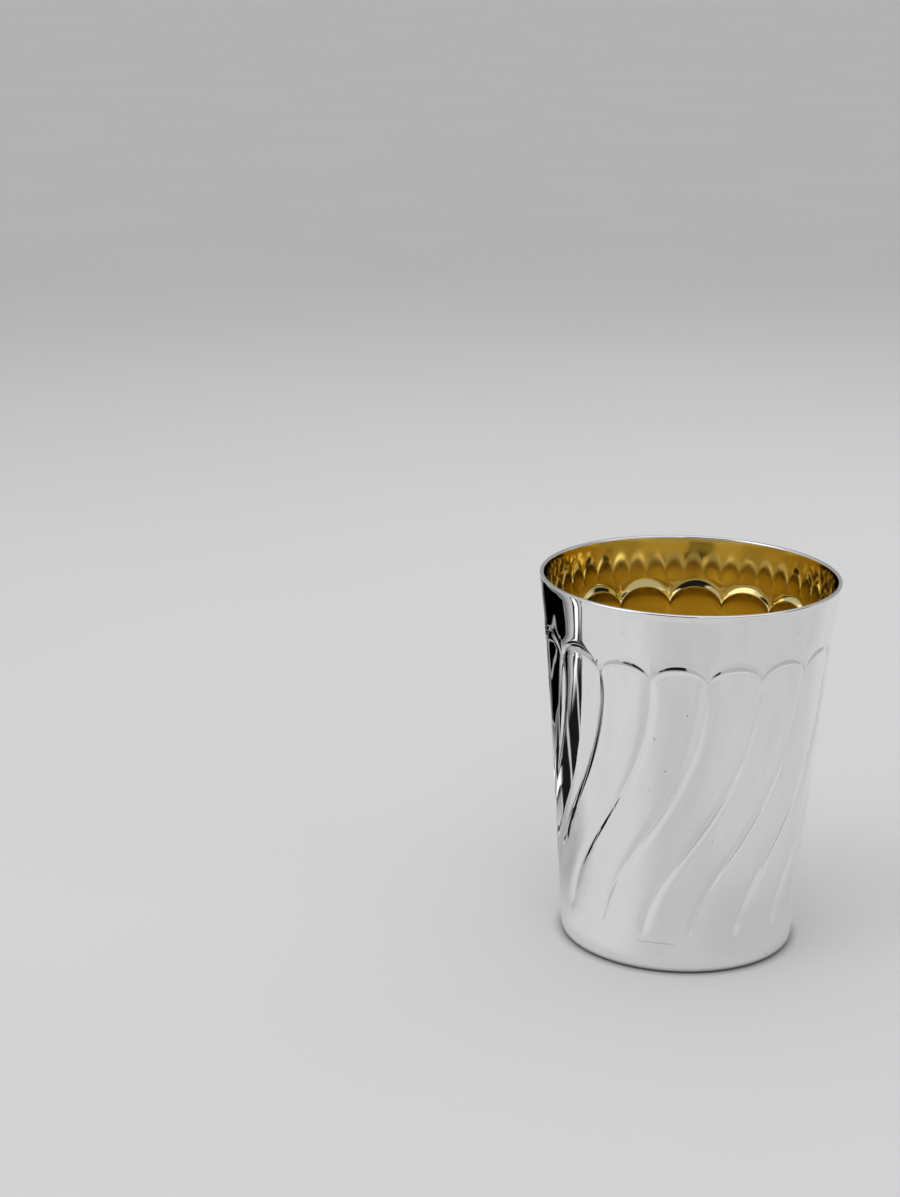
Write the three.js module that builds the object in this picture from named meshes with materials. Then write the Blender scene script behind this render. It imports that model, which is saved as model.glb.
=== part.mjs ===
// A silver cup with a tapering wall, worked into swirling lobes under a row of round arches.
// Millimetres and degrees. +Z is up, and the origin is the middle of the underside.
import * as THREE from 'three';

// The cup
const HEIGHT = 82;
const RIM_RADIUS = 32.55;
const BASE_RADIUS = 25.4;
const WALL = 0.5;
const LIP_WIDTH = 0.95; // the sheet thickens to this from the arches up to the rim
const FLOOR = 0.6;
const BASE_ROUNDING = 1.4; // outside edge at the base
const FLOOR_ROUNDING = 2.2; // corner inside, between wall and floor

// The lobes
const LOBES = 16;
const RIM_BAND = 9.9; // plain band, from the rim down to the tops of the arches
const ARCH_RISE = 4.4; // from the cusps between two arches up to their tops
const ARCH_FULLNESS = 0.75; // 1 makes the arch a parabola, 0.5 a half ellipse
const FOOT_BAND = 7.5; // plain band at the base, below the lobes
const FIRST_CUSP = 8.5; // turn of one cusp away from the front, -Y, towards +X
const TWIST = 46.5; // turn of a lobe between its arch and its lower end
const TWIST_DELAY = 1.35; // over 1, a lobe hangs straight for longer before it swirls

// The relief, as depths below the plain taper of the wall
const GROOVE_DEPTH = 0.56; // under the top of an arch
const GROOVE_AT_CUSP = 0.45; // share of the groove's size that is left at the cusps
const GROOVE_DROP = 1.6; // height of the slope from the plain band down into the groove
const SLOPE_POWER = 1.5; // over 1, that slope starts gently and ends steep
const SHOULDER_DROP = 1.05; // height over which a lobe comes out again below the groove
const SHOULDER_POWER = 1.2; // over 1, it comes out steeply and ends gently
const FACE_DEPTH = 0.15; // how far the lobes' crowns lie below the taper
const CREASE_DEPTH = 0.5; // between two lobes
const CREASE_REACH = 2.2; // how far a lobe rolls over towards its crease
const CREASE_RUN = 7; // height below a cusp over which the crease gets its depth
const CROWN = 0.15; // roundness of a lobe across its width
const FOOT_FADE = 4; // height over which the lobes run out into the foot band

// How finely the surfaces are cut into facets
const LOBE_SHARES = [0, 0.1, 0.26, 0.5, 0.74, 0.9];
const SWIRL_STEPS = 9;
const ROUNDING_STEPS = 3;
const LIP_STEPS = 6;
const BAND_START = 0.4; // a level this far above the arches keeps the plain band even

const ARCH_TOP = HEIGHT - RIM_BAND;
const CUSP_LEVEL = ARCH_TOP - ARCH_RISE;
const PITCH = 360 / LOBES;

// Goes smoothly from 0 to 1 as share does, and stays there beyond
function ease(share) {
  const t = THREE.MathUtils.clamp(share, 0, 1);
  return t * t * (3 - 2 * t);
}

// Thickness of the sheet at a height
function thickness(z) {
  const share = THREE.MathUtils.clamp((z - ARCH_TOP) / (HEIGHT - ARCH_TOP), 0, 1);
  return THREE.MathUtils.lerp(WALL, LIP_WIDTH, share);
}

// Inside radius of the plain taper at a height: one straight cone from the floor to the rim
function insideRadius(z) {
  return THREE.MathUtils.lerp(BASE_RADIUS - WALL, RIM_RADIUS - LIP_WIDTH, z / HEIGHT);
}

// Outside radius of the plain taper at a height
function outsideRadius(z) {
  return insideRadius(z) + thickness(z);
}

// Level of the arch at a share q of the way across a lobe, from one cusp to the next
function archLevel(q) {
  return CUSP_LEVEL + ARCH_RISE * (1 - (2 * q - 1) ** 2) ** ARCH_FULLNESS;
}

// Turn of the lobes at a height, in degrees: none at the cusps, all of it at the foot band
function swirl(z) {
  const share = THREE.MathUtils.clamp((CUSP_LEVEL - z) / (CUSP_LEVEL - FOOT_BAND), 0, 1);
  return -TWIST * ease(share ** TWIST_DELAY);
}

// Size of the groove at a share q of the way across a lobe: full in the middle, least at the cusps
function grooveSize(q) {
  return THREE.MathUtils.lerp(GROOVE_AT_CUSP, 1, Math.sin(Math.PI * q));
}

// Depth below an arch: the groove under the slope, and a shoulder that comes out to the lobe's face
function grooveDepth(q, below) {
  const size = grooveSize(q);
  const out = THREE.MathUtils.clamp((below / size - GROOVE_DROP) / SHOULDER_DROP, 0, 1);
  return FACE_DEPTH + size * (GROOVE_DEPTH - FACE_DEPTH) * (1 - out) ** SHOULDER_POWER;
}

// Depth that the roundness of a lobe and the crease at its side add
function creaseDepth(q, z) {
  const lobeWidth = THREE.MathUtils.degToRad(PITCH) * outsideRadius(z);
  const fromCrease = Math.min(q, 1 - q) * lobeWidth;
  const roll = Math.max(0, 1 - fromCrease / CREASE_REACH) ** 2;
  const start = ease((CUSP_LEVEL + ARCH_RISE - z) / (CREASE_RUN + ARCH_RISE));
  return start * (CREASE_DEPTH * roll + CROWN * (2 * q - 1) ** 2);
}

// Depth of the whole relief below the plain taper: nothing above the arches and in the foot band
function reliefDepth(q, z) {
  const below = archLevel(q) - z;
  const slope = THREE.MathUtils.clamp(below / (GROOVE_DROP * grooveSize(q)), 0, 1) ** SLOPE_POWER;
  const fade = ease((z - FOOT_BAND) / FOOT_FADE);
  return slope * fade * (grooveDepth(q, below) + creaseDepth(q, z));
}

// Points on a quarter or half circle in the wall's section, from one angle to another
function roundingStations(radius, level, size, from, to, steps) {
  return Array.from({ length: steps + 1 }, (_, i) => {
    const angle = THREE.MathUtils.degToRad(THREE.MathUtils.lerp(from, to, i / steps));
    const r = radius + size * Math.cos(angle);
    const z = level + size * Math.sin(angle);
    return () => ({ r, z });
  });
}

// Levels of the wall from the foot band up to the lip, each a function of the share q
function wallLevels() {
  const grooveEnd = (q) => archLevel(q) - (GROOVE_DROP + SHOULDER_DROP) * grooveSize(q);
  const levels = [];
  for (let i = 0; i <= SWIRL_STEPS; i++) {
    levels.push((q) => THREE.MathUtils.lerp(FOOT_BAND, grooveEnd(q), i / SWIRL_STEPS));
  }
  for (const below of [GROOVE_DROP, GROOVE_DROP / 2, 0]) {
    levels.push((q) => archLevel(q) - below * grooveSize(q));
  }
  levels.push(() => ARCH_TOP + BAND_START);
  return levels;
}

// The whole section, up the outside, over the lip and down the inside to the floor
function sectionStations() {
  const outside = wallLevels().map((level) => (q) => {
    const z = level(q);
    return { r: outsideRadius(z) - reliefDepth(q, z), z };
  });
  const inside = wallLevels().reverse().map((level) => (q) => {
    const z = level(q);
    return { r: insideRadius(z) - reliefDepth(q, z), z };
  });
  const lip = LIP_WIDTH / 2;
  const lipLevel = HEIGHT - lip;
  const lipRadius = insideRadius(lipLevel) + lip;
  const baseRadius = outsideRadius(BASE_ROUNDING) - BASE_ROUNDING;
  const floorLevel = FLOOR + FLOOR_ROUNDING;
  const floorRadius = insideRadius(floorLevel) - FLOOR_ROUNDING;
  return [
    ...roundingStations(baseRadius, BASE_ROUNDING, BASE_ROUNDING, -90, 0, ROUNDING_STEPS),
    ...outside,
    ...roundingStations(lipRadius, lipLevel, lip, 0, 180, LIP_STEPS),
    ...inside,
    ...roundingStations(floorRadius, floorLevel, FLOOR_ROUNDING, 0, -90, ROUNDING_STEPS),
  ];
}

// Carries the section round the axis, lobe by lobe, and closes it at the two centres
function cupGeometry() {
  const stations = sectionStations();
  const columns = LOBES * LOBE_SHARES.length;
  const positions = [0, 0, 0, 0, 0, FLOOR];
  for (const station of stations) {
    for (let lobe = 0; lobe < LOBES; lobe++) {
      for (const q of LOBE_SHARES) {
        const { r, z } = station(q);
        const turn = THREE.MathUtils.degToRad(FIRST_CUSP + (lobe + q) * PITCH + swirl(z));
        positions.push(r * Math.sin(turn), -r * Math.cos(turn), z);
      }
    }
  }
  const at = (row, column) => 2 + row * columns + (column % columns);
  const last = stations.length - 1;
  const faces = [];
  for (let c = 0; c < columns; c++) {
    faces.push(0, at(0, c + 1), at(0, c));
    faces.push(1, at(last, c), at(last, c + 1));
    for (let row = 0; row < last; row++) {
      faces.push(at(row, c), at(row, c + 1), at(row + 1, c + 1));
      faces.push(at(row, c), at(row + 1, c + 1), at(row + 1, c));
    }
  }
  const geometry = new THREE.BufferGeometry();
  geometry.setAttribute('position', new THREE.Float32BufferAttribute(positions, 3));
  geometry.setIndex(faces);
  geometry.computeVertexNormals();
  return geometry;
}

const silver = new THREE.MeshStandardMaterial({ color: 0xdedfdd, roughness: 0.1, metalness: 1 });

const cupBody = new THREE.Mesh(cupGeometry(), silver);
cupBody.name = 'cup_body';

const cup = new THREE.Group();
cup.add(cupBody);

export default cup;
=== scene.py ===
"""A silver kiddush cup, gilt inside, whose wall is worked into swirling lobes under round arches."""
import math

import bpy
import numpy as np
from bpy.props import FloatProperty, FloatVectorProperty, IntProperty, PointerProperty
from mathutils import Matrix, Vector


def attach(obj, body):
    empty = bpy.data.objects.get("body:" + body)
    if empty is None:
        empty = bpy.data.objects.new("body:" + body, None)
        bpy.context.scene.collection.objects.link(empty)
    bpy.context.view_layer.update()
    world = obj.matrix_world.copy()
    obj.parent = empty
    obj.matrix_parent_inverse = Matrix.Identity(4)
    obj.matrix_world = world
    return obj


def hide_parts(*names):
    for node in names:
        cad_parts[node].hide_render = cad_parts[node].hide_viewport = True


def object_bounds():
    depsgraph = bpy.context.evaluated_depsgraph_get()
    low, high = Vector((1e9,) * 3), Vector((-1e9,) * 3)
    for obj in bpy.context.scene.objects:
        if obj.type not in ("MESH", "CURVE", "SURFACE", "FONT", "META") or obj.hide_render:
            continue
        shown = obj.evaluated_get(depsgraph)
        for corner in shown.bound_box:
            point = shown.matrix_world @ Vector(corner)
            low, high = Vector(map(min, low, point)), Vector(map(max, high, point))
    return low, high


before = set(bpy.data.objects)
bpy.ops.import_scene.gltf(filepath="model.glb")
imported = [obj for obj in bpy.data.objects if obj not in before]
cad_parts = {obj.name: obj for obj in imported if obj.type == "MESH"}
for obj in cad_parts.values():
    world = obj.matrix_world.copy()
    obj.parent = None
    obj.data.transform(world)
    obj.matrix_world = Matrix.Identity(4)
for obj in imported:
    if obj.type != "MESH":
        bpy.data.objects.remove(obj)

bl_info = {
    "name": "Kiddush cup",
    "version": (1, 0, 0),
    "blender": (4, 5, 0),
    "location": "3D View > Sidebar > Cup",
    "description": "Builds a lobed silver cup, gilt inside, and a pale studio around it",
    "category": "Object",
}

CAD_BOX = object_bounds()
CUP_HEIGHT = CAD_BOX[1].z
RIM_RADIUS = CAD_BOX[1].x

MM = 0.001

# Relief too fine for the mesh, in metres: lines that spinning leaves, and slow swells in the polish.
SPUN_LINES = 0.0001 * MM
SWELLS = 0.02 * MM

# Patterns of the metal, as steps of noise to the metre: spun lines, smudges and swells, and tiny marks.
SPUN_SCALE = (14, 14, 1500)
SMUDGE_SCALE = 55
MARK_SCALE = 950

# Noise between which metal goes from clean to dull, and from plain to marked; and how a mark looks.
SMUDGE_RANGE = (0.4, 0.7)
MARK_RANGE = (0.745, 0.785)
MARK_TINT = (0.3, 0.3, 0.3, 1)
MARK_ROUGHNESS = 0.2

# Noise keeps mostly between these two.
NOISE_RANGE = (0.3, 0.7)

# Grid rows: swirl outside and inside, slope or shoulder of an arch, foot line outside and inside, rim band.
SWIRL_ROWS = (58, 40)
ARCH_ROWS = 8
LINE_ROWS = (7, 2)
BAND_ROWS = 4
CORNER_STEPS = 5
LIP_STEPS = 12

# Levels of two rows in the foot band, and the gaps that the rows of the rim band leave at its two ends.
FOOT_LEVELS = (3 * MM, 5 * MM)
ARCH_GAP = 0.4 * MM
LIP_GAP = 2 * MM

# How strongly the columns crowd towards the creases: at 0 they are even, and it stays under 1.
CROWDING = 0.6

# Slow waves of the sheet: how many go round and up the cup, their shift, and where they ease in and out.
WAVES = ((3, 2, 0), (7, -3, 1), (12, 5, 2))
WAVE_START = 4 * MM
WAVE_END = 6 * MM

# The sheet starts to count as worked this far below an arch, and is fully worked after this much more.
WORKED_START = 1.2 * MM
WORKED_RUN = 2.4 * MM


def length(name, description, default_mm):
    """A size of the cup in metres, given here in millimetres."""
    return FloatProperty(
        name=name, description=description, default=default_mm * MM, unit="LENGTH", precision=5
    )


def angle(name, description, default_degrees):
    """An angle in radians, given here in degrees."""
    return FloatProperty(
        name=name, description=description, default=math.radians(default_degrees), subtype="ANGLE"
    )


def number(name, description, default, **limits):
    """A plain number, such as a share, a power or a brightness."""
    return FloatProperty(name=name, description=description, default=default, **limits)


def colour(name, description, default):
    """A finish or light colour, in linear light."""
    return FloatVectorProperty(
        name=name, description=description, default=default, subtype="COLOR", size=3, min=0, max=1
    )


class CupSizes(bpy.types.PropertyGroup):
    """The plain form of the cup: a tapering wall with a flat floor and a rounded lip."""

    height: length("Height", "Underside to lip", CUP_HEIGHT / MM)
    rim_radius: length("Rim radius", "Outside radius at the rim", RIM_RADIUS / MM)
    base_radius: length("Base radius", "Outside radius of the taper where it meets the ground", 25.4)
    wall: length("Wall", "Thickness of the sheet", 0.5)
    lip_width: length("Lip width", "Thickness of the sheet at the rim", 0.95)
    floor: length("Floor", "Thickness of the floor", 0.6)
    base_rounding: length("Base rounding", "Outside edge at the base", 1.4)
    floor_rounding: length("Floor rounding", "Corner between wall and floor, inside", 2.2)


class LobeSizes(bpy.types.PropertyGroup):
    """The lobes, their arches and the depth of the relief below the plain taper."""

    lobes: IntProperty(name="Lobes", description="Number of lobes round the cup", default=16, min=3, max=40)
    rim_band: length("Rim band", "Plain band from the rim down to the tops of the arches", 9.9)
    arch_rise: length("Arch rise", "From the cusps between arches up to their tops", 4.4)
    arch_fullness: number("Arch fullness", "1 makes a parabola, 0.5 a half ellipse", 0.75)
    foot_band: length("Foot band", "Plain band below the lobes", 7.5)
    first_cusp: angle("First cusp", "Turn of one cusp from the front", 8.5)
    twist: angle("Twist", "Turn of a lobe from its arch to its foot", 46.5)
    twist_delay: number("Twist delay", "Over 1, a lobe hangs straight for longer", 1.35)
    groove_depth: length("Groove depth", "Depth under the top of an arch", 0.56)
    groove_at_cusp: number("Groove at cusp", "Share of the groove's size left at the cusps", 0.45)
    groove_drop: length("Groove drop", "Height of the slope from the plain band into the groove", 1.6)
    slope_power: number("Slope power", "Over 1, the slope starts gently and ends steep", 1.5)
    shoulder_drop: length("Shoulder drop", "Height over which a lobe comes out below the groove", 1.05)
    shoulder_power: number("Shoulder power", "Over 1, a lobe comes out steeply and ends gently", 1.2)
    inner_shoulder: length("Inner shoulder", "The same height inside, where the sheet bends more softly", 2.4)
    face_depth: length("Face depth", "How far the crowns lie below the taper", 0.15)
    crease_depth: length("Crease depth", "Depth between two lobes", 0.5)
    crease_reach: length("Crease reach", "How far a lobe rolls over towards its crease", 2.2)
    crease_round: length("Crease rounding", "Softness of the bottom of a crease", 0.1)
    crease_run: length("Crease run", "Height below a cusp over which the crease gets its depth", 7)
    crown: length("Crown", "Roundness of a lobe across its width", 0.15)
    foot_fade: length("Foot fade", "Height over which the lobes run out into the foot band", 4)


class HandWork(bpy.types.PropertyGroup):
    """The small differences that handwork leaves, and how finely the surface is divided."""

    seed: IntProperty(name="Seed", description="Chooses which lobes differ, and how", default=7)
    arch_spread: number("Arch spread", "Share by which arch heights differ", 0.04)
    crease_spread: number("Crease spread", "Share by which creases differ", 0.15)
    unevenness: length("Unevenness", "Depth of the slow waves left in the sheet", 0.012)
    line_depth: length("Foot line depth", "Depth of the short line scribed below the lobes", 0.12)
    line_level: length("Foot line level", "Height of that line", 7.1)
    line_width: length("Foot line width", "Half width of that line", 0.17)
    line_start: angle("Foot line start", "Turn where that line starts", -24)
    line_end: angle("Foot line end", "Turn where that line ends", 6)
    line_fade: angle("Foot line fade", "Turn over which it eases out", 8)
    columns: IntProperty(name="Columns in a lobe", description="Divisions across one lobe", default=34, min=8)


class CupFinish(bpy.types.PropertyGroup):
    """Colours and polish of the two metals."""

    silver: colour("Silver", "Polished silver", (0.93, 0.93, 0.93))
    tarnish: colour("Tarnish", "Silver where it has dulled slightly", (0.88, 0.88, 0.88))
    gilding: colour("Gilding", "Pale gold plating", (0.925, 0.78, 0.385))
    # Painted light: a deeper, brighter gold for the lobes, standing for the warm light bounced between them,
    # not a thicker plating.
    bounce_lit_gilding: colour("Deep gilding", "Thicker gold plating, in the lobes", (0.975, 0.785, 0.25))
    worn_gilding: colour("Worn gilding", "Gold plating where it is rubbed", (0.89, 0.72, 0.315))
    polish: number("Polish", "Roughness of the cleanest silver", 0.02, min=0, max=1)
    smudge: number("Smudge", "Roughness of the dullest silver", 0.06, min=0, max=1)
    gilt_polish: number("Gilt polish", "Roughness of the cleanest gold", 0.05, min=0, max=1)
    gilt_smudge: number("Gilt smudge", "Roughness of the dullest gold", 0.1, min=0, max=1)
    gilt_satin: number("Gilt satin", "What working the lobes adds to that roughness", 0.17, min=0, max=1)


class StudioSettings(bpy.types.PropertyGroup):
    """Floor, backdrop and the brightness of the studio's parts, as the metal reflects them."""

    # Floor near and far carry painted light: a pool of light painted round a spot by the cup, dimming to the
    # far colour.
    floor_near: colour("Floor near", "Floor by the cup", (0.74, 0.74, 0.74))
    floor_far: colour("Floor far", "Floor in the distance", (0.5, 0.5, 0.5))
    backdrop: colour("Backdrop", "What the camera sees past the floor", (0.42, 0.42, 0.42))
    dome: number("Dome", "Brightness of the light from above", 0.88, min=0)
    walls: number("Walls", "Brightness just over the floor", 0.46, min=0)
    window: number("Window", "Brightness of the bright panel, front left", 1.4, min=0)
    screen: number("Screen", "Brightness of the pale panel, front right", 0.45, min=0)
    lamp: number("Lamp", "Soft lamp in front, which the metal doesn't reflect", 0.68, min=0)
    shade: number("Shade", "Brightness of the dark panels", 0.012, min=0)
    back: number("Back", "Brightness behind the cup, as the metal reflects it", 0.34, min=0)
    wall_top: angle("Top of the walls", "Height in view where the walls end", 16)


# Panels of the studio: turn of the middle from the front, half width, lowest and highest, in degrees of view.
WINDOW = (-64, 18, 19, 58)
DARK_MIDDLE = (-14, 21, 13, 46)
DARK_LOW = (-43, 9, 13, 19)
SCREEN = (38, 26, 17, 46)
DARK_SIDE = (94, 15, 17, 36)
PANEL_EDGE = 3  # half width of their soft edges

# In degrees: rise from wall to dome, where the dim back starts at the sides, and where it ends above.
DOME_RISE = 30
BACK_SIDES = (110, 135)
BACK_TOP = (50, 75)

# Floor, in metres: its radius and level, the middle of the pool of light painted on it and how far from there
# it dims.
FLOOR_RADIUS = 12
FLOOR_CORNERS = 96
FLOOR_LEVEL = -0.05 * MM
BRIGHT_SPOT = (0.12, 0, 0)
BRIGHT_REACH = (0.25, 1.0)

# Mottling of the floor: steps of noise to the metre, and how much it moves the mix of near and far.
MOTTLE_SCALE = 9
MOTTLE = 0.05

# Painted contact shadow, a ring of shade where the cup stands: darkest and end, in metres from the axis, and
# its strength.
CONTACT_SHADE = (0.0225, 0.0278)
CONTACT_STRENGTH = 0.9

# The upright card of painted reflection, in metres: its two ends as seen from above, and its lowest and
# highest level.
STREAK_CARD = ((-0.029, 0.043), (-0.176, -0.05), 0.001, 0.07)
STREAK_FADE = (-0.05, -0.031)  # it fades out between these two places along X

# Nested bands on that card: their middle, and how far they reach across and up, in metres.
BAND_MIDDLE = (-0.054, 0, 0.05)
BAND_REACH = (0.083, 0.048)
BAND_WAVE = 0.1  # how far slow waves bend them, as a share of that reach
BAND_WAVE_SCALE = 60  # steps of noise to the metre

# Stops of those bands from the middle, at 0, to the outer edge, at 1: place, and brightness there.
BANDS = (
    (0, 0), (0.1, 0), (0.11, 0.35), (0.13, 0.35), (0.14, 0), (0.345, 0), (0.355, 0.3), (0.365, 0.3),
    (0.375, 0.12), (0.56, 0.6), (0.575, 0.01), (0.61, 0.01), (0.625, 1.1), (0.72, 1.1), (0.735, 0.01),
    (0.77, 0.06), (0.79, 0.35), (0.92, 0.6), (0.93, 0.03), (0.965, 0.03), (0.975, 0.7), (1, 0.7),
)

# Dark skirt under the bands, a painted dark reflection, in metres: where it fades out upwards and at its two
# ends along X.
SKIRT_TOP = (0.026, 0.034)
SKIRT_FAR = (-0.122, -0.112)
SKIRT_NEAR = (-0.062, -0.052)

# Its fine lines, tops of a sine: radians to the metre along X, bend by the bands, top's part, dark and light.
LINE_WAVES = 280.0
LINE_BEND = 6.0
LINE_TOP = (0.8, 1.0)
LINE_LIGHT = (0.01, 0.6)

# The level card of painted shadow that the metal reflects on the left, in metres: its middle and reach, and
# its level.
SHADE_PLACE = (-0.065, 0.03, 0.055)
SHADE_LEVEL = 0.3 * MM

# Its strength in the middle, the share of its reach where it starts to fade, its noise steps and its greys.
SHADE_STRENGTH = 0.7
SHADE_CORE = 0.35
SHADE_SCALE = 30
SHADE_GREYS = (0.22, 0.4)

# The level card of painted sheen, a reflection of a lit floor that only the metal sees, in metres from the
# axis: its half side, level, and where it starts and ends.
SHEEN_SIDE = 0.3
SHEEN_LEVEL = 0.15 * MM
SHEEN_START = (0.0275, 0.032)
SHEEN_END = (0.26, 0.3)
SHEEN_SCALE = 26  # steps of noise to the metre
SHEEN_UNEVEN = (0.97, 1.03)

# Its turn about the axis, in degrees from the front: its middle, and where it fades out on either side.
SHEEN_MIDDLE = 15
SHEEN_SIDES = (90, 115)

# Its brightness: turns in degrees and brightness there, and distances in metres from which a part counts.
SHEEN_LEFT = (-42, -8, 0.655, 0.55)
SHEEN_RIGHT = (8, 36, 0, 0.04)
SHEEN_RIGHT_AWAY = (0.04, 0.09, -1, 1)
SHEEN_FAR = (8, 40, 0.07, -0.01)
SHEEN_FAR_AWAY = (0.14, 0.2)

# Soft lamp in front, in degrees: how wide it is, its turn and how steeply it shines down.
LAMP_WIDTH = 70
LAMP_TURN = 12
LAMP_TIP = 42

# Camera: picture width and focal length in pixels, and sensor width in millimetres.
PICTURE_WIDTH = 900
FOCAL_PIXELS = 2648
SENSOR = 36

# Its place and nearest distance in metres, and its yaw, pitch and roll in degrees.
CAMERA_PLACE = (0, -0.55, 0.2347)
CAMERA_NEAR = 0.01
CAMERA_ANGLES = (-5.38, 16.22, 1.02)


def ease(value):
    """Goes smoothly from 0 to 1 as value does: 3 t squared minus 2 t cubed, flat beyond both ends."""
    t = np.clip(value, 0, 1)
    return t * t * (3 - 2 * t)


def blend_between(low, high, part):
    """Straight mix of low and high: low where part is 0, high where it is 1."""
    return low + (high - low) * part


class Lobes:
    """Columns of the grid round the cup: which lobe each lies in, and its share q across that lobe."""

    def __init__(self, shape, work):
        """q is u - CROWDING sin(2 pi u) / (2 pi) for even u, so the columns crowd towards the creases."""
        u = np.arange(work.columns) / work.columns
        q = u - CROWDING * np.sin(2 * np.pi * u) / (2 * np.pi)
        self.q = np.tile(q, shape.lobes)
        self.lobe = np.repeat(np.arange(shape.lobes), work.columns)
        chance = np.random.default_rng(work.seed)
        rise = 1 + work.arch_spread * chance.uniform(-1, 1, shape.lobes)
        crease = 1 + work.crease_spread * chance.uniform(-1, 1, shape.lobes)
        self.rise = rise[self.lobe]
        nearest = np.where(self.q < 0.5, self.lobe, (self.lobe + 1) % shape.lobes)
        self.crease = crease[nearest]


class Wall:
    """The cup's section as functions of the height z and of the columns' share q, all in metres."""

    def __init__(self, sizes, shape, work):
        """The arch line rises from cusp to top as a power of the parabola 1 - (2 q - 1) squared."""
        self.sizes, self.shape, self.work = sizes, shape, work
        self.columns = Lobes(shape, work)
        self.arch_top = sizes.height - shape.rim_band
        self.cusp = self.arch_top - shape.arch_rise
        self.pitch = 2 * np.pi / shape.lobes
        q = self.columns.q
        arch = (1 - (2 * q - 1) ** 2) ** shape.arch_fullness
        self.arch = self.cusp + shape.arch_rise * self.columns.rise * arch
        self.groove_size = shape.groove_at_cusp + (1 - shape.groove_at_cusp) * np.sin(np.pi * q)
        self.slope = shape.groove_drop * self.groove_size
        self.shoulder = shape.shoulder_drop * self.groove_size
        self.inner_shoulder = shape.inner_shoulder * self.groove_size

    def thickness(self, z):
        """The wall's thickness, growing straight from the arches up to the width of the lip."""
        part = np.clip((z - self.arch_top) / self.shape.rim_band, 0, 1)
        return blend_between(self.sizes.wall, self.sizes.lip_width, part)

    def inside(self, z):
        """Radius of the plain taper inside: one straight cone from the floor to the rim."""
        s = self.sizes
        return blend_between(s.base_radius - s.wall, s.rim_radius - s.lip_width, z / s.height)

    def outside(self, z):
        """Radius of the plain taper outside: the inside cone plus the sheet's thickness."""
        return self.inside(z) + self.thickness(z)

    def turn(self, z):
        """Turn of each column about the axis: its place in its lobe, less a swirl that grows downwards."""
        c = self.columns
        foot = self.shape.foot_band
        part = np.clip((self.cusp - z) / (self.cusp - foot), 0, 1) ** self.shape.twist_delay
        return self.shape.first_cusp + (c.lobe + c.q) * self.pitch - self.shape.twist * ease(part)

    def groove(self, below, shoulder):
        """Depth at a distance below the arch line: a slope into the groove, a shoulder out to the face."""
        s = self.shape
        out = (1 - np.clip((below - self.slope) / shoulder, 0, 1)) ** s.shoulder_power
        return s.face_depth + self.groove_size * (s.groove_depth - s.face_depth) * out

    def crease(self, z):
        """Depth beside a lobe: a V with a soft bottom, opening in a curve, and the lobe's roundness."""
        s = self.shape
        q = self.columns.q
        across = np.minimum(q, 1 - q) * self.pitch * self.outside(z)
        from_crease = np.hypot(across, s.crease_round) - s.crease_round
        roll = np.maximum(0, 1 - from_crease / s.crease_reach) ** 2 * self.columns.crease
        start = ease((self.cusp + s.arch_rise - z) / (s.crease_run + s.arch_rise))
        return start * (s.crease_depth * roll + s.crown * (2 * q - 1) ** 2)

    def relief(self, z, shoulder):
        """Depth of the relief below the taper: nothing above the arches and in the foot band."""
        s = self.shape
        below = self.arch - z
        slope = np.clip(below / self.slope, 0, 1) ** s.slope_power
        fade = slope * ease((z - s.foot_band) / s.foot_fade)
        return fade * (self.groove(below, shoulder) + self.crease(z))

    def unevenness(self, z):
        """Slow waves of the hand-finished sheet, all inwards: three crossing sines, none at base and lip."""
        turn = self.turn(z)
        up = z / self.sizes.height * 2 * np.pi
        waves = sum(np.sin(about * turn + along * up + shift) for about, along, shift in WAVES)
        hold = ease(z / WAVE_START) * ease((self.sizes.height - z) / WAVE_END)
        return self.work.unevenness * hold * (len(WAVES) + waves) / (2 * len(WAVES))

    def foot_line(self, z):
        """A short scribed line at the front: a bell across its width, easing out towards both its ends."""
        w = self.work
        bell = np.exp(-(((z - w.line_level) / w.line_width) ** 2))
        turn = (self.turn(z) + np.pi) % (2 * np.pi) - np.pi
        part = ease((turn - w.line_start) / w.line_fade) * ease((w.line_end - turn) / w.line_fade)
        return w.line_depth * bell * part

    def levels(self, shoulder, swirl_rows, line_rows):
        """Heights from base to lip: even steps in the foot band, swirl, shoulder, slope and rim band."""
        s, w = self.shape, self.work
        here = np.ones_like(self.arch)
        line_reach = 2 * w.line_width
        line = np.linspace(w.line_level - line_reach, w.line_level + line_reach, line_rows)
        swirl = np.linspace(0, 1, swirl_rows)[1:, None]
        step = np.linspace(0, 1, ARCH_ROWS)[1:, None]
        band = np.linspace(0, 1, BAND_ROWS)[:, None]
        bottom = self.arch - self.slope
        shoulder_end = bottom - shoulder
        runs = [
            np.array([*FOOT_LEVELS, *line])[:, None] * here,
            blend_between(s.foot_band * here, shoulder_end, swirl),
            blend_between(shoulder_end, bottom, step),
            blend_between(bottom, self.arch, step),
            blend_between(self.arch_top + ARCH_GAP, self.sizes.height - LIP_GAP, band) * here,
        ]
        return np.concatenate(runs)

    def outside_points(self):
        """The outer face from base to lip: the taper less relief, slow waves and scribed line."""
        z = self.levels(self.shoulder, SWIRL_ROWS[0], LINE_ROWS[0])
        return self.outside(z) - self.relief(z, self.shoulder) - self.unevenness(z) - self.foot_line(z), z

    def inside_points(self):
        """The inner face from lip to floor: the taper less the same relief, with its softer shoulder."""
        z = self.levels(self.inner_shoulder, SWIRL_ROWS[1], LINE_ROWS[1])[::-1]
        return self.inside(z) - self.relief(z, self.inner_shoulder) - self.unevenness(z), z

    def rounding(self, radius, level, size, start, end, steps):
        """A quarter or half circle of the section, from one angle to another: radius and height."""
        angles = np.radians(np.linspace(start, end, steps + 1))[:, None] * np.ones_like(self.arch)
        return radius + size * np.cos(angles), level + size * np.sin(angles)

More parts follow.
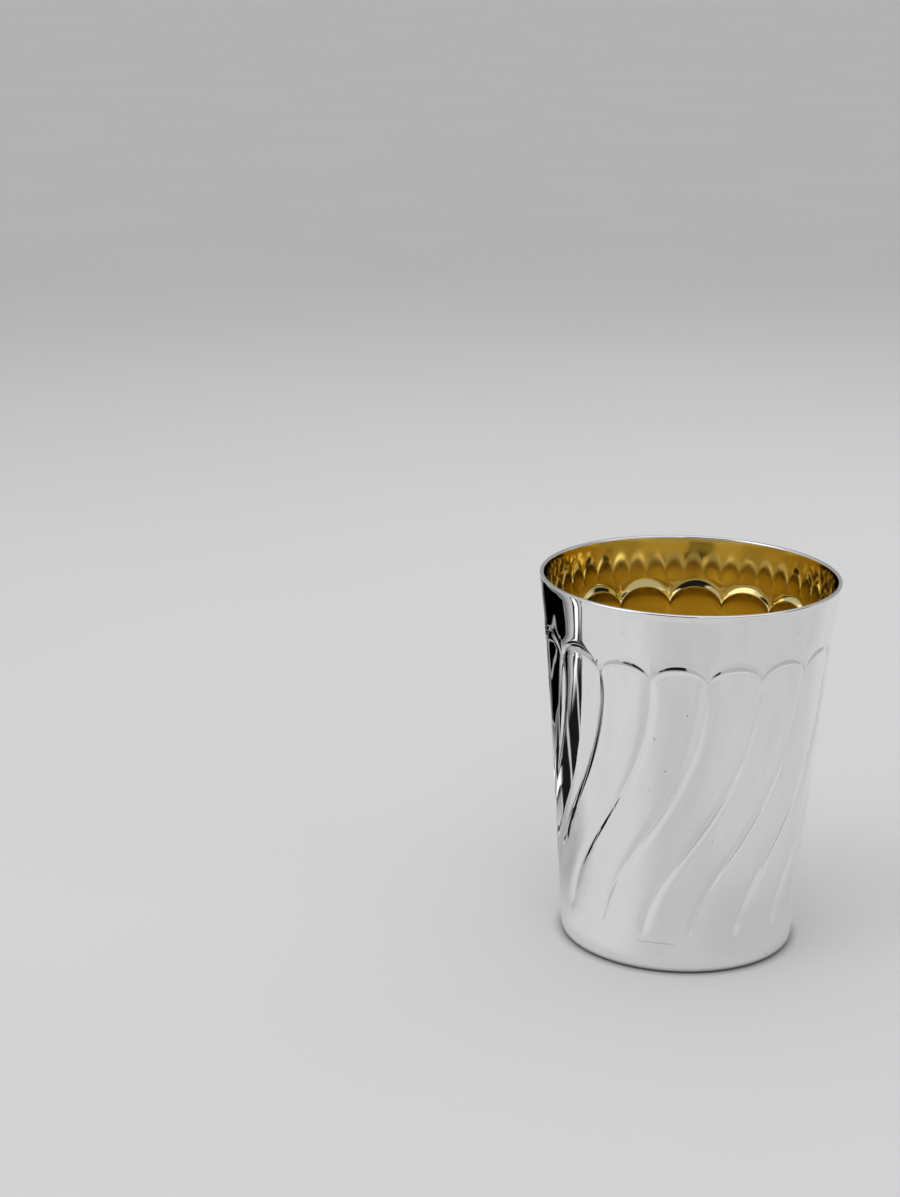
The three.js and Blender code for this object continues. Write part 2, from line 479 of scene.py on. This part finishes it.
    def section(self):
        """The whole section, station by column: base edge, outside, lip, inside and floor corner."""
        s = self.sizes
        lip = s.lip_width / 2
        lip_level = s.height - lip
        edge = s.base_rounding
        corner_level = s.floor + s.floor_rounding
        corner_radius = self.inside(corner_level) - s.floor_rounding
        parts = [
            self.rounding(self.outside(edge) - edge, edge, edge, -90, 0, CORNER_STEPS),
            self.outside_points(),
            self.rounding(self.inside(lip_level) + lip, lip_level, lip, 0, 180, LIP_STEPS),
            self.inside_points(),
            self.rounding(corner_radius, corner_level, s.floor_rounding, 0, -90, CORNER_STEPS),
        ]
        radius = np.concatenate([p[0] for p in parts])
        level = np.concatenate([p[1] for p in parts])
        inside_row = sum(len(p[0]) for p in parts[:3]) - 1
        return radius, level, inside_row

    def worked(self, level):
        """Share by which the sheet at a height has been worked: none by the arches, all of it lower down."""
        return ease((self.arch - level - WORKED_START) / WORKED_RUN)


def grid_mesh(name, wall):
    """Carries the section round the axis as a closed grid, with a pole under the floor and one on it."""
    radius, level, inside_row = wall.section()
    rows, columns = radius.shape
    turn = wall.turn(level)
    grid = np.stack([radius * np.sin(turn), -radius * np.cos(turn), level], axis=-1).reshape(-1, 3)
    poles = np.array([[0, 0, 0], [0, 0, wall.sizes.floor]])
    points = np.concatenate([poles, grid])
    index = 2 + np.arange(rows * columns).reshape(rows, columns)
    nxt = np.roll(index, -1, axis=1)
    quads = np.stack([index[:-1], nxt[:-1], nxt[1:], index[1:]], axis=-1).reshape(-1, 4)
    under = np.stack([np.zeros(columns, int), nxt[0], index[0]], axis=-1)
    floor = np.stack([np.ones(columns, int), index[-1], nxt[-1]], axis=-1)
    mesh = bpy.data.meshes.new(name)
    mesh.from_pydata(points.tolist(), [], quads.tolist() + under.tolist() + floor.tolist())
    row_of_quad = np.repeat(np.arange(rows - 1), columns)
    gilt = np.concatenate([row_of_quad >= inside_row, np.zeros(columns, bool), np.ones(columns, bool)])
    mesh.polygons.foreach_set("material_index", gilt.astype(np.int32))
    worked = mesh.attributes.new("worked", "FLOAT", "POINT")
    shares = np.concatenate([[1, 1], wall.worked(level).ravel()])
    worked.data.foreach_set("value", shares.astype(np.float32))
    mesh.shade_smooth()
    mesh.update()
    return mesh


class Tree:
    """A node tree with short calls for adding nodes and links."""

    def __init__(self, owner):
        """Empties the owner's node tree and keeps hold of it."""
        owner.use_nodes = True
        self.tree = owner.node_tree
        self.tree.nodes.clear()

    def fill(self, socket, value):
        """Links another node's socket to this one, or sets this one to a plain value."""
        if isinstance(value, bpy.types.NodeSocket):
            self.tree.links.new(value, socket)
        else:
            socket.default_value = value

    def add(self, kind, settings=None, **inputs):
        """Adds a node, sets its settings and fills its inputs, by name or by number as in i0."""
        node = self.tree.nodes.new(kind)
        for key, value in (settings or {}).items():
            setattr(node, key, value)
        for key, value in inputs.items():
            place = int(key[1:]) if key[1:].isdigit() else key.replace("_", " ")
            self.fill(node.inputs[place], value)
        return node

    def here(self):
        """Place on the object, in its own frame."""
        return self.add("ShaderNodeTexCoord").outputs["Object"]

    def math(self, operation, *values):
        """One step of arithmetic on sockets or numbers."""
        numbered = {f"i{i}": value for i, value in enumerate(values)}
        return self.add("ShaderNodeMath", {"operation": operation}, **numbered).outputs[0]

    def distance(self, place, centre):
        """Straight distance from a place to a centre."""
        settings = {"operation": "DISTANCE"}
        return self.add("ShaderNodeVectorMath", settings, i0=place, i1=centre).outputs["Value"]

    def noise(self, place, scale, detail, **more):
        """Soft noise at a place, with so many steps to the metre there."""
        return self.add("ShaderNodeTexNoise", Vector=place, Scale=scale, Detail=detail, **more).outputs[0]

    def map(self, value, start, end, low=0.0, high=1.0):
        """Goes straight from low to high as value goes from start to end."""
        ends = {"From_Min": start, "From_Max": end, "To_Min": low, "To_Max": high}
        return self.add("ShaderNodeMapRange", Value=value, **ends).outputs[0]

    def smooth(self, value, start, end, low=0.0, high=1.0):
        """Goes smoothly from low to high as value goes from start to end."""
        ends = {"From_Min": start, "From_Max": end, "To_Min": low, "To_Max": high}
        settings = {"interpolation_type": "SMOOTHSTEP"}
        return self.add("ShaderNodeMapRange", settings, Value=value, **ends).outputs[0]

    def smooth_turn(self, value, start, end, low=0.0, high=1.0):
        """The same, with start and end in degrees."""
        return self.smooth(value, math.radians(start), math.radians(end), low, high)

    def product(self, *factors):
        """Multiplies any number of sockets."""
        total = factors[0]
        for factor in factors[1:]:
            total = self.math("MULTIPLY", total, factor)
        return total

    def mix(self, factor, low, high):
        """Mixes two colours and returns the mixed colour's socket."""
        node = self.add("ShaderNodeMix", {"data_type": "RGBA"}, Factor=factor)
        self.fill(node.inputs[6], low)
        self.fill(node.inputs[7], high)
        return node.outputs[2]

    def mix_values(self, factor, low, high):
        """Mixes two numbers and returns the mixed number's socket."""
        settings = {"data_type": "FLOAT"}
        return self.add("ShaderNodeMix", settings, i0=factor, i2=low, i3=high).outputs[0]


def metal(name, colours, roughness, satin, line_depth):
    """A polished metal: fine spun lines, soft smudges that dull it, and a few tiny marks."""
    bright, dull, lobe_colour = colours
    polish, smudge = roughness
    material = bpy.data.materials.new(name)
    t = Tree(material)
    here = t.here()
    stretched = t.add("ShaderNodeMapping", Vector=here, Scale=SPUN_SCALE).outputs[0]
    lines = t.noise(stretched, 1, 3)
    smudges = t.noise(here, SMUDGE_SCALE, 4, Roughness=0.6)
    swells = t.noise(here, SMUDGE_SCALE, 0)
    marks = t.noise(here, MARK_SCALE, 2)
    dulled = t.map(smudges, *SMUDGE_RANGE)
    marked = t.map(marks, *MARK_RANGE)
    worked = t.add("ShaderNodeAttribute", {"attribute_name": "worked"}).outputs["Fac"]
    plain = t.mix(dulled, (*bright, 1), (*dull, 1))
    # In the worked lobes the metal takes a further colour: for the gold this is painted bounce light, which
    # deepens and brightens it; the silver keeps its colour.
    lobed = t.mix(worked, plain, (*lobe_colour, 1))
    tint = t.mix(marked, lobed, MARK_TINT)
    rough = t.map(dulled, 0, 1, polish, smudge)
    softened = t.math("MULTIPLY_ADD", worked, satin, rough)
    rough_marks = t.math("MULTIPLY_ADD", marked, MARK_ROUGHNESS, softened)
    relief = t.add("ShaderNodeBump", Height=lines, Distance=line_depth, Strength=1).outputs[0]
    waves = t.add("ShaderNodeBump", Height=swells, Distance=SWELLS, Strength=1, Normal=relief).outputs[0]
    shader = t.add(
        "ShaderNodeBsdfPrincipled", Base_Color=tint, Metallic=1, Roughness=rough_marks, Normal=waves
    )
    t.add("ShaderNodeOutputMaterial", Surface=shader.outputs[0])
    return material


def studio_floor(studio):
    """Pale matt floor, faintly mottled, with painted light that dims far away, and a painted contact shadow
    in a narrow ring by the cup.
    """
    material = bpy.data.materials.new("floor")
    t = Tree(material)
    here = t.here()
    # Painted light: the floor is brighter round BRIGHT_SPOT and dims away from it.
    away = t.smooth(t.distance(here, BRIGHT_SPOT), *BRIGHT_REACH)
    uneven = t.map(t.noise(here, MOTTLE_SCALE, 3), 0, 1, -MOTTLE, MOTTLE)
    tint = t.mix(t.math("ADD", away, uneven), (*studio.floor_near, 1), (*studio.floor_far, 1))
    # Painted contact shadow: the floor's colour is darkened in a ring round the cup's base.
    painted_contact_shadow = t.smooth(t.distance(here, (0, 0, 0)), *CONTACT_SHADE, CONTACT_STRENGTH, 0.0)
    shaded = t.mix(painted_contact_shadow, tint, (0, 0, 0, 1))
    shader = t.add("ShaderNodeBsdfPrincipled", Base_Color=shaded, Roughness=1.0, Specular_IOR_Level=0.0)
    t.add("ShaderNodeOutputMaterial", Surface=shader.outputs[0])
    return material


def panel(t, azimuth, elevation, under, brightness, place):
    """Lays a soft-edged panel of light over what is under it, and returns the new brightness."""
    middle, half, low, high = place
    masks = []
    for value, centre, reach in ((azimuth, middle, half), (elevation, (low + high) / 2, (high - low) / 2)):
        off = t.math("ABSOLUTE", t.math("SUBTRACT", value, math.radians(centre)))
        masks.append(t.smooth_turn(off, reach - PANEL_EDGE, reach + PANEL_EDGE, 1.0, 0.0))
    return t.mix_values(t.product(*masks), under, brightness)


def studio_dome(studio):
    """Light from all round: grey walls, a bright dome over them, and panels on the camera's side."""
    world = bpy.data.worlds.new("studio")
    t = Tree(world)
    parts = t.add("ShaderNodeSeparateXYZ", Vector=t.add("ShaderNodeTexCoord").outputs["Generated"])
    azimuth = t.math("ARCTAN2", parts.outputs["X"], t.math("MULTIPLY", parts.outputs["Y"], -1.0))
    elevation = t.math("ARCSINE", parts.outputs["Z"])
    dome_start = studio.wall_top + math.radians(DOME_RISE)
    light = t.smooth(elevation, studio.wall_top, dome_start, studio.walls, studio.dome)
    behind = t.smooth_turn(t.math("ABSOLUTE", azimuth), *BACK_SIDES)
    below = t.smooth_turn(elevation, *BACK_TOP, 1.0, 0.0)
    path = t.add("ShaderNodeLightPath")
    dimmed = t.product(behind, below, path.outputs["Is Glossy Ray"])
    light = t.mix_values(dimmed, light, studio.back)
    for brightness, place in (
        (studio.window, WINDOW),
        (studio.shade, DARK_MIDDLE),
        (studio.shade, DARK_LOW),
        (studio.screen, SCREEN),
        (studio.shade, DARK_SIDE),
    ):
        light = panel(t, azimuth, elevation, light, brightness, place)
    tint = t.mix(path.outputs["Is Camera Ray"], light, (*studio.backdrop, 1))
    shader = t.add("ShaderNodeBackground", Color=tint, Strength=1.0)
    t.add("ShaderNodeOutputWorld", Surface=shader.outputs[0])
    bpy.context.scene.world = world


def light_card(name, corners, mask, glow):
    """A flat card that only the metal reflects, a painted reflection: it glows, and is clear where its mask
    is none.
    """
    mesh = bpy.data.meshes.new(name)
    mesh.from_pydata(corners, [], [(0, 1, 2, 3)])
    material = bpy.data.materials.new(name)
    t = Tree(material)
    here = t.here()
    light = t.add("ShaderNodeEmission", Color=glow(t, here), Strength=1.0)
    clear = t.add("ShaderNodeBsdfTransparent")
    both = t.add("ShaderNodeMixShader", i0=mask(t, here), i1=clear.outputs[0], i2=light.outputs[0])
    t.add("ShaderNodeOutputMaterial", Surface=both.outputs[0])
    mesh.materials.append(material)
    card = link(name, mesh)
    card.visible_camera = card.visible_diffuse = card.visible_shadow = False


def ring_share(t, here):
    """Distance from the middle of the upright card's bands, 1 at their outer edge, with slow waves in it."""
    across, up = BAND_REACH
    place = t.add("ShaderNodeVectorMath", {"operation": "SUBTRACT"}, i0=here, i1=BAND_MIDDLE).outputs[0]
    scale = (1 / across, 0, 1 / up)
    flat = t.add("ShaderNodeVectorMath", {"operation": "MULTIPLY"}, i0=place, i1=scale).outputs[0]
    bend = t.map(t.noise(here, BAND_WAVE_SCALE, 1), 0, 1, -BAND_WAVE, BAND_WAVE)
    return t.math("ADD", t.distance(flat, (0, 0, 0)), bend)


def streak_mask(t, here):
    """Clear beyond the outermost band, and fading out towards the card's near end."""
    inside = t.math("LESS_THAN", ring_share(t, here), 1.0)
    across = t.add("ShaderNodeSeparateXYZ", Vector=here).outputs["X"]
    return t.product(inside, t.smooth(across, *STREAK_FADE, 1.0, 0.0))


def streak_glow(t, here):
    """Painted reflection: nested bands of dark and light, and under them a dark skirt with a few fine upright
    lines.
    """
    rings = ring_share(t, here)
    ramp = t.add("ShaderNodeValToRGB", i0=rings)
    stops = ramp.color_ramp.elements
    for place, light in BANDS[1:-1]:
        stops.new(place)
    for stop, (place, light) in zip(stops, BANDS):
        stop.position = place
        stop.color = (light, light, light, 1)
    parts = t.add("ShaderNodeSeparateXYZ", Vector=here)
    across, level = parts.outputs["X"], parts.outputs["Z"]
    bent = t.math("MULTIPLY", rings, LINE_BEND)
    wave = t.math("SINE", t.math("MULTIPLY_ADD", across, LINE_WAVES, bent))
    lines = t.map(wave, *LINE_TOP, *LINE_LIGHT)
    upwards = t.smooth(level, *SKIRT_TOP, 1.0, 0.0)
    skirt = t.product(upwards, t.smooth(across, *SKIRT_FAR), t.smooth(across, *SKIRT_NEAR, 1.0, 0.0))
    return t.mix(skirt, ramp.outputs[0], lines)


def shade_mask(t, here):
    """Strongest in the middle of the shade and gone at its edge."""
    x, y, reach = SHADE_PLACE
    return t.smooth(t.distance(here, (x, y, 0)), SHADE_CORE * reach, reach, SHADE_STRENGTH, 0.0)


def shade_glow(t, here):
    """Painted shadow for the metal to reflect: even grey, a little mottled."""
    return t.map(t.noise(here, SHADE_SCALE, 1), *NOISE_RANGE, *SHADE_GREYS)


def polar(t, here):
    """Distance from the cup's axis, and the turn about it from the front."""
    parts = t.add("ShaderNodeSeparateXYZ", Vector=here)
    turn = t.math("ARCTAN2", parts.outputs["X"], t.math("MULTIPLY", parts.outputs["Y"], -1.0))
    return t.distance(here, (0, 0, 0)), turn


def sheen_mask(t, here):
    """A half ring in front of the cup: gone close to it, far from it and behind it."""
    away, turn = polar(t, here)
    aside = t.math("ABSOLUTE", t.math("SUBTRACT", turn, math.radians(SHEEN_MIDDLE)))
    ring = t.product(t.smooth(away, *SHEEN_START), t.smooth(away, *SHEEN_END, 1.0, 0.0))
    return t.product(ring, t.smooth_turn(aside, *SHEEN_SIDES, 1.0, 0.0))


def sheen_glow(t, here):
    """Painted reflection: brightest to the left, dimmest in the middle and a little brighter again to the
    right.
    """
    away, turn = polar(t, here)
    left = t.smooth_turn(turn, *SHEEN_LEFT)
    right = t.product(t.smooth_turn(turn, *SHEEN_RIGHT), t.smooth(away, *SHEEN_RIGHT_AWAY))
    aside = t.math("ABSOLUTE", turn)
    far = t.product(t.smooth(away, *SHEEN_FAR_AWAY), t.smooth_turn(aside, *SHEEN_FAR))
    total = t.math("ADD", t.math("ADD", left, right), far)
    uneven = t.map(t.noise(here, SHEEN_SCALE, 2), *NOISE_RANGE, *SHEEN_UNEVEN)
    return t.product(total, uneven)


def lying(x, y, reach, level):
    """Corners of a square that lies level."""
    return [(x + reach * i, y + reach * j, level) for i, j in ((-1, -1), (1, -1), (1, 1), (-1, 1))]


def cards():
    """Cards round the cup, painted reflections in its metal: streaks and shade for the left of its wall, and
    soft sheen for the rest.
    """
    (x0, y0), (x1, y1), low, high = STREAK_CARD
    upright = [(x0, y0, low), (x1, y1, low), (x1, y1, high), (x0, y0, high)]
    light_card("streak_card", upright, streak_mask, streak_glow)
    light_card("shade_card", lying(*SHADE_PLACE, SHADE_LEVEL), shade_mask, shade_glow)
    light_card("sheen_card", lying(0, 0, SHEEN_SIDE, SHEEN_LEVEL), sheen_mask, sheen_glow)


def link(name, data):
    """Puts data into the scene as an object at the origin."""
    made = bpy.data.objects.new(name, data)
    bpy.context.scene.collection.objects.link(made)
    return made


def looking(yaw, pitch, roll):
    """Axes of a camera or lamp that looks along +Y, turned by yaw about Z, tipped by pitch, then rolled."""
    yaw, pitch, roll = math.radians(yaw), math.radians(pitch), math.radians(roll)
    ahead = Vector((math.sin(yaw) * math.cos(pitch), math.cos(yaw) * math.cos(pitch), -math.sin(pitch)))
    right = Vector((math.cos(yaw), -math.sin(yaw), 0))
    up = right.cross(ahead)
    across = right * math.cos(roll) + up * math.sin(roll)
    above = up * math.cos(roll) - right * math.sin(roll)
    return Matrix((across, above, -ahead)).transposed().to_4x4()


def add_floor(studio):
    """A large level disc, a hair below the cup."""
    turn = np.linspace(0, 2 * np.pi, FLOOR_CORNERS + 1)[:-1]
    level = np.full(FLOOR_CORNERS, FLOOR_LEVEL)
    ring = np.stack([FLOOR_RADIUS * np.cos(turn), FLOOR_RADIUS * np.sin(turn), level], axis=-1)
    mesh = bpy.data.meshes.new("floor")
    mesh.from_pydata(ring.tolist(), [], [list(range(FLOOR_CORNERS))])
    mesh.materials.append(studio_floor(studio))
    floor = link("floor", mesh)


def add_lamp(studio):
    """A wide soft lamp in front, which the metal doesn't reflect."""
    lamp = bpy.data.lights.new("front_lamp", "SUN")
    lamp.energy = studio.lamp
    lamp.angle = math.radians(LAMP_WIDTH)
    front = link("front_lamp", lamp)
    front.matrix_world = looking(LAMP_TURN, LAMP_TIP, 0)
    front.visible_glossy = False


def add_camera(scene):
    """The camera, fitted to the photograph's view of the cup."""
    camera = bpy.data.cameras.new("camera")
    camera.sensor_fit = "HORIZONTAL"
    camera.sensor_width = SENSOR
    camera.lens = SENSOR * FOCAL_PIXELS / PICTURE_WIDTH
    camera.clip_start = CAMERA_NEAR
    eye = link("camera", camera)
    eye.matrix_world = Matrix.Translation(CAMERA_PLACE) @ looking(*CAMERA_ANGLES)
    scene.camera = eye


class CUP_OT_body(bpy.types.Operator):
    """Build the cup: one closed sheet of silver with its lobes, gilt inside"""

    bl_idname = "cup.body"
    bl_label = "Cup"

    def execute(self, context):
        scene = context.scene
        finish = scene.cup_finish
        wall = Wall(scene.cup_sizes, scene.cup_lobes, scene.cup_work)
        mesh = grid_mesh("silver_cup", wall)
        silvers = (finish.silver, finish.tarnish, finish.silver)
        golds = (finish.gilding, finish.worn_gilding, finish.bounce_lit_gilding)
        silver_rough = (finish.polish, finish.smudge)
        gold_rough = (finish.gilt_polish, finish.gilt_smudge)
        mesh.materials.append(metal("silver", silvers, silver_rough, 0, SPUN_LINES))
        mesh.materials.append(metal("gilding", golds, gold_rough, finish.gilt_satin, SPUN_LINES / 3))
        cup = link("silver_cup", mesh)
        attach(cup, "root")
        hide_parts("cup_body")
        return {"FINISHED"}


class CUP_OT_studio(bpy.types.Operator):
    """Build the stage: pale floor, soft light from all round, and the camera"""

    bl_idname = "cup.studio"
    bl_label = "Studio"

    def execute(self, context):
        scene = context.scene
        studio = scene.cup_studio
        add_floor(studio)
        studio_dome(studio)
        cards()
        add_lamp(studio)
        add_camera(scene)
        scene.view_settings.view_transform = "Standard"
        return {"FINISHED"}


class CUP_PT_panel(bpy.types.Panel):
    """Lists the steps and their sizes"""

    bl_label = "Kiddush cup"
    bl_space_type = "VIEW_3D"
    bl_region_type = "UI"
    bl_category = "Cup"

    def draw(self, context):
        for operator in (CUP_OT_body, CUP_OT_studio):
            self.layout.operator(operator.bl_idname)
        for group in GROUPS:
            box = self.layout.box()
            owner = getattr(context.scene, group)
            for name in owner.__annotations__:
                box.prop(owner, name)


GROUPS = {
    "cup_sizes": CupSizes,
    "cup_lobes": LobeSizes,
    "cup_work": HandWork,
    "cup_finish": CupFinish,
    "cup_studio": StudioSettings,
}
CLASSES = (*GROUPS.values(), CUP_OT_body, CUP_OT_studio, CUP_PT_panel)


def register():
    """Registers the classes and hangs each group of sizes on the scene."""
    for cls in CLASSES:
        bpy.utils.register_class(cls)
    for name, cls in GROUPS.items():
        setattr(bpy.types.Scene, name, PointerProperty(type=cls))


def unregister():
    """Takes the groups and classes away again."""
    for name in GROUPS:
        delattr(bpy.types.Scene, name)
    for cls in reversed(CLASSES):
        bpy.utils.unregister_class(cls)


def main():
    """Builds the cup and its stage."""
    register()
    bpy.ops.cup.body()
    bpy.ops.cup.studio()


if __name__ == "__main__":
    main()
